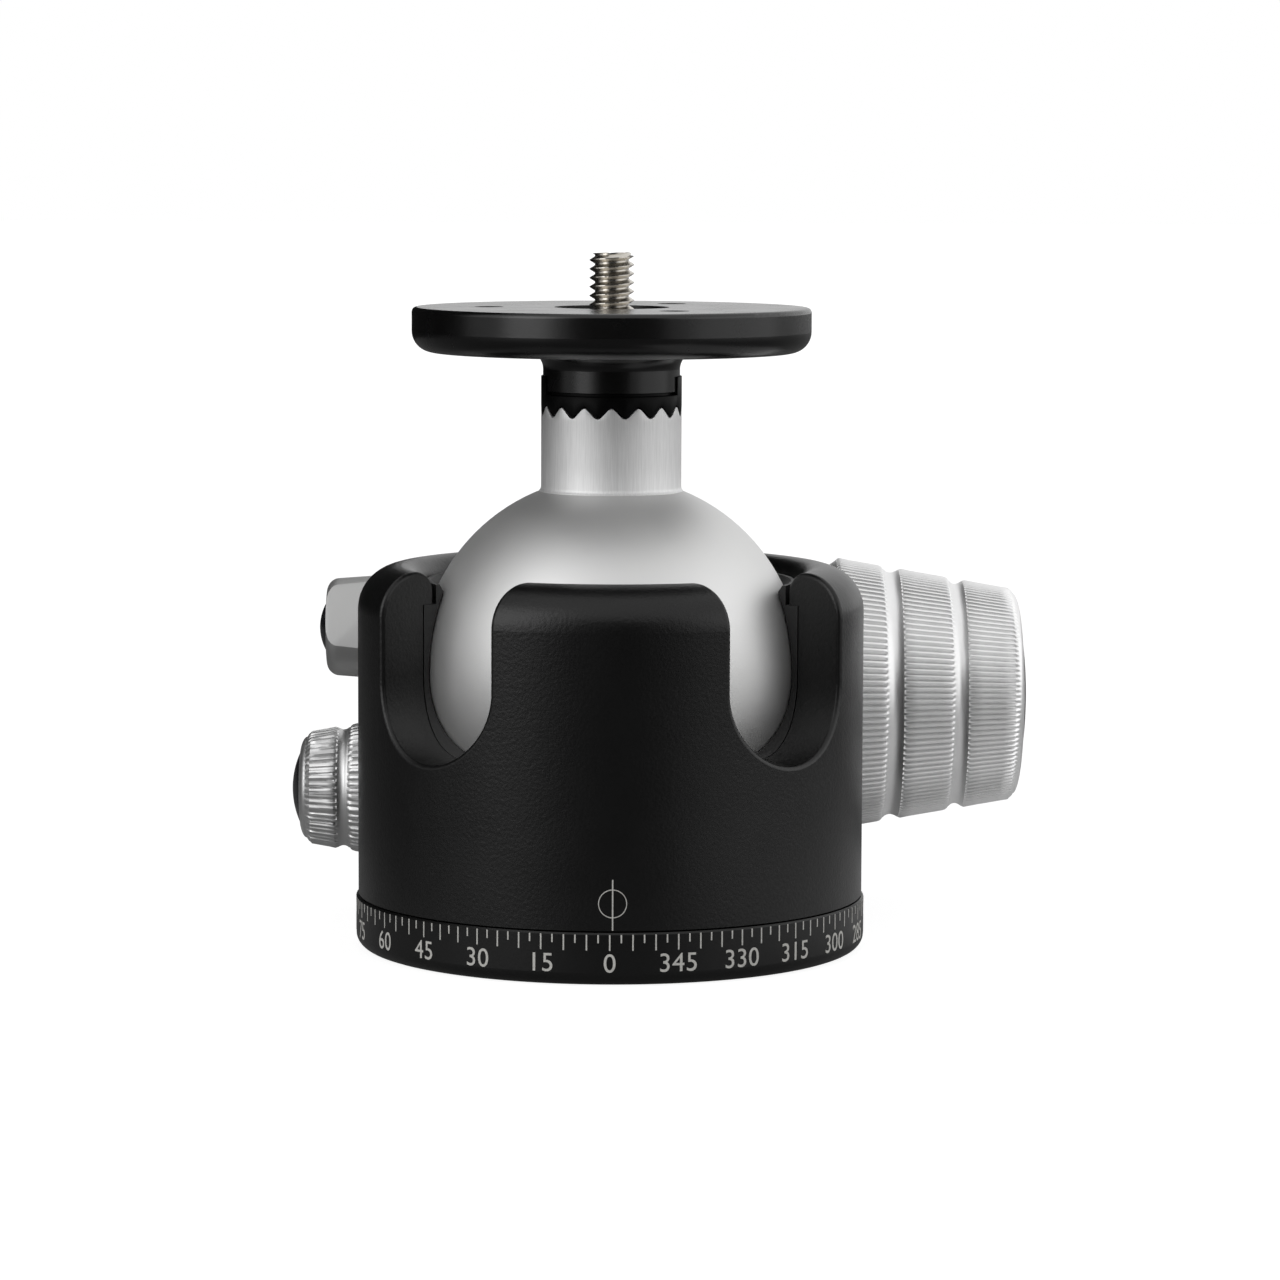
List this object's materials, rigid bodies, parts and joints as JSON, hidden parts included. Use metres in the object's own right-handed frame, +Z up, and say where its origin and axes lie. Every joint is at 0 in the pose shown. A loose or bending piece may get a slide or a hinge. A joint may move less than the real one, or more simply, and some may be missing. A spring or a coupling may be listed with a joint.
{
  "type": "tripod ball head",
  "caption": "Tripod ball head: a panning base with a degree scale, a slotted housing that clamps a ball, a round platform with a camera stud, a large clamp knob and small lock knobs.",
  "frame": {"origin": "mouth of the tripod thread, in the middle of the base's underside", "axes": "+Z up along the pan axis to the camera stud; -Y is the front with the index mark; +X is the clamp knob's side"},
  "size_m": [0.111, 0.09, 0.0996],
  "materials": {
    "black_anodised": "matte black anodising, fine grain",
    "satin_silver": "bead-blasted satin, brushed neck, knurled grips",
    "stainless_steel": "turned, bright",
    "black_oxide": "black oxide",
    "race_plastic": "moulded dark grey",
    "bronze": "turned",
    "brake_rubber": "matte",
    "black_cap": "smooth satin"
  },
  "bodies": {
    "base": {"panning_base": "black_anodised", "tripod_bush": "stainless_steel", "thrust_washer": "race_plastic", "pan_retainer": "stainless_steel", "retainer_screws": "stainless_steel"},
    "housing_body": {"housing": "black_anodised", "closure_plate": "black_anodised", "cup_spring": "stainless_steel", "pressure_cup": "race_plastic", "ball_race": "race_plastic", "race_key": "stainless_steel", "clamp_bush": "bronze", "friction_bush": "bronze", "pan_lock_bush": "bronze", "bore_plug": "black_anodised"},
    "clamp_knob_body": {"clamp_knob": "satin_silver", "clamp_knob_cap": "black_cap", "clamp_shaft": "stainless_steel", "clamp_knob_screw": "stainless_steel"},
    "clamp_nut_right_body": {"clamp_nut_right": "bronze"},
    "clamp_nut_left_body": {"clamp_nut_left": "bronze"},
    "clamp_shoe_right_body": {"clamp_shoe_right": "race_plastic"},
    "clamp_shoe_left_body": {"clamp_shoe_left": "race_plastic"},
    "friction_knob_body": {"friction_knob": "satin_silver", "friction_knob_cap": "black_cap", "friction_shaft": "stainless_steel", "friction_knob_screw": "stainless_steel"},
    "friction_nut_body": {"friction_nut": "bronze"},
    "friction_pin_body": {"friction_pin": "race_plastic"},
    "pan_lock_knob_body": {"pan_lock_knob": "satin_silver", "pan_lock_cap": "black_cap", "pan_lock_shaft": "stainless_steel", "pan_lock_screw": "stainless_steel"},
    "pan_lock_nut_body": {"pan_lock_nut": "bronze"},
    "pan_brake_body": {"pan_brake_pin": "bronze", "pan_brake_pad": "brake_rubber"},
    "ball_body": {"ball": "satin_silver"},
    "stem_body": {"ball_stem": "satin_silver", "index_collar": "black_anodised", "platform": "black_anodised", "platform_bolt": "black_oxide", "camera_stud": "stainless_steel"}
  },
  "joints": [
    {"name": "pan", "type": "hinge", "parent": "base", "child": "housing_body", "pos_m": [0, 0, 0], "axis": [0, 0, 1], "continuous": true},
    {"name": "ball_tilt", "type": "hinge", "parent": "housing_body", "child": "ball_body", "pos_m": [0, 0, 0.04], "axis": [0.7071, 0.7071, 0], "range_deg": [-40, 90]},
    {"name": "ball_spin", "type": "hinge", "parent": "ball_body", "child": "stem_body", "pos_m": [0, 0, 0.04], "axis": [0, 0, 1], "continuous": true},
    {"name": "clamp_knob_turn", "type": "hinge", "parent": "housing_body", "child": "clamp_knob_body", "pos_m": [0, 0.033, 0.03256], "axis": [1, 0, 0], "range_deg": [0, 270]},
    {"name": "clamp_nut_right_slide", "type": "slide", "parent": "housing_body", "child": "clamp_nut_right_body", "axis": [1, 0, 0], "range_m": [0, 0.00075]},
    {"name": "clamp_nut_left_slide", "type": "slide", "parent": "housing_body", "child": "clamp_nut_left_body", "axis": [-1, 0, 0], "range_m": [0, 0.00075]},
    {"name": "clamp_shoe_right_slide", "type": "slide", "parent": "housing_body", "child": "clamp_shoe_right_body", "axis": [0, 0.9755, -0.2199], "range_m": [0, 0.00025]},
    {"name": "clamp_shoe_left_slide", "type": "slide", "parent": "housing_body", "child": "clamp_shoe_left_body", "axis": [0, 0.9755, -0.2199], "range_m": [0, 0.00025]},
    {"name": "friction_knob_turn", "type": "hinge", "parent": "housing_body", "child": "friction_knob_body", "pos_m": [0, 0.028, 0.0429], "axis": [-1, 0, 0], "range_deg": [0, 270]},
    {"name": "friction_nut_slide", "type": "slide", "parent": "housing_body", "child": "friction_nut_body", "axis": [-1, 0, 0], "range_m": [0, 0.000525]},
    {"name": "friction_pin_slide", "type": "slide", "parent": "housing_body", "child": "friction_pin_body", "axis": [0, 0.9947, 0.103], "range_m": [0, 0.0002]},
    {"name": "pan_lock_turn", "type": "hinge", "parent": "housing_body", "child": "pan_lock_knob_body", "pos_m": [0, 0.028, 0.01866], "axis": [-1, 0, 0], "range_deg": [0, 270]},
    {"name": "pan_lock_nut_slide", "type": "slide", "parent": "housing_body", "child": "pan_lock_nut_body", "axis": [-1, 0, 0], "range_m": [0, 0.000525]},
    {"name": "pan_brake_slide", "type": "slide", "parent": "housing_body", "child": "pan_brake_body", "axis": [0, 0, 1], "range_m": [0, 0.0002]}
  ],
  "couplings": [
    {"joint": "clamp_knob_turn", "follows": "clamp_nut_right_slide", "rad_per_m": 6283.1},
    {"joint": "clamp_nut_left_slide", "follows": "clamp_nut_right_slide", "ratio": 1},
    {"joint": "clamp_shoe_right_slide", "follows": "clamp_nut_right_slide", "ratio": 0.26795},
    {"joint": "clamp_shoe_left_slide", "follows": "clamp_nut_right_slide", "ratio": 0.26795},
    {"joint": "friction_knob_turn", "follows": "friction_nut_slide", "rad_per_m": 8975.9},
    {"joint": "friction_pin_slide", "follows": "friction_nut_slide", "ratio": 0.26795},
    {"joint": "pan_lock_turn", "follows": "pan_lock_nut_slide", "rad_per_m": 8975.9},
    {"joint": "pan_brake_slide", "follows": "pan_lock_nut_slide", "ratio": 0.26795}
  ]
}
